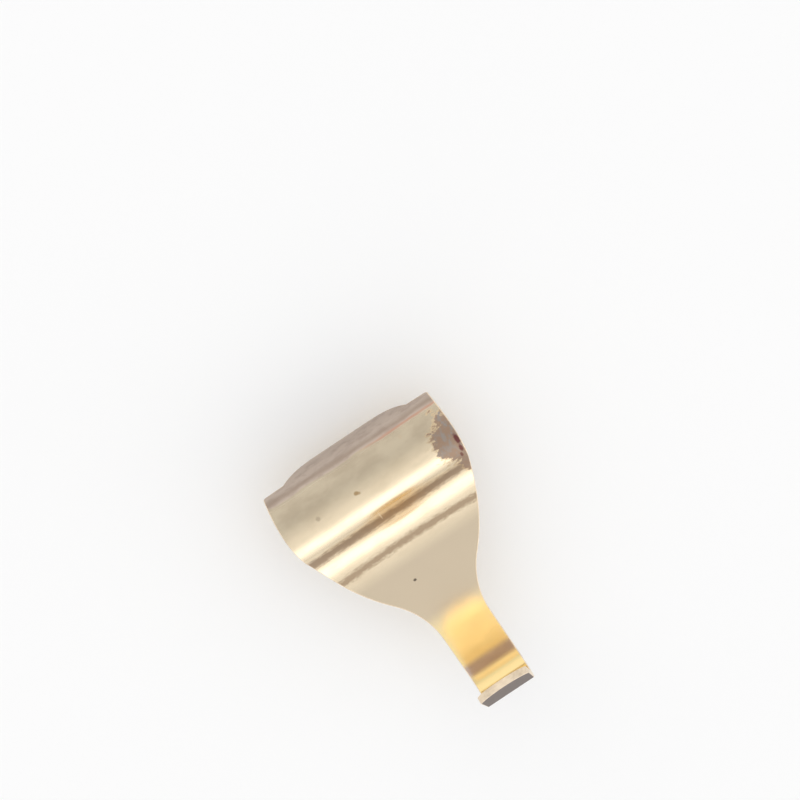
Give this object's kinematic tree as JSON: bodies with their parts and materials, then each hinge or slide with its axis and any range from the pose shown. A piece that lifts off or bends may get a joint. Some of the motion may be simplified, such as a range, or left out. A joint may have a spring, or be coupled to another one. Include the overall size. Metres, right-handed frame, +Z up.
{
  "type": "picture rail hook",
  "caption": "Brass hook bent from one sheet: a wide curl goes over a picture rail's bead, a narrowing shank hangs flat on the wall, and a small upturned tongue holds the picture's cord.",
  "frame": {"origin": "centre of the curl that sits on the rail's bead, halfway across the hook", "axes": "+X across the hook to the right as seen from the front, -Y out of the front towards the viewer, +Z up the hanging hook"},
  "size_m": [0.0268, 0.0201, 0.042],
  "materials": {
    "brass": "polished brass with faint mottling and a tarnished patch on the head"
  },
  "bodies": {
    "root": {"hook": "brass"}
  },
  "joints": []
}
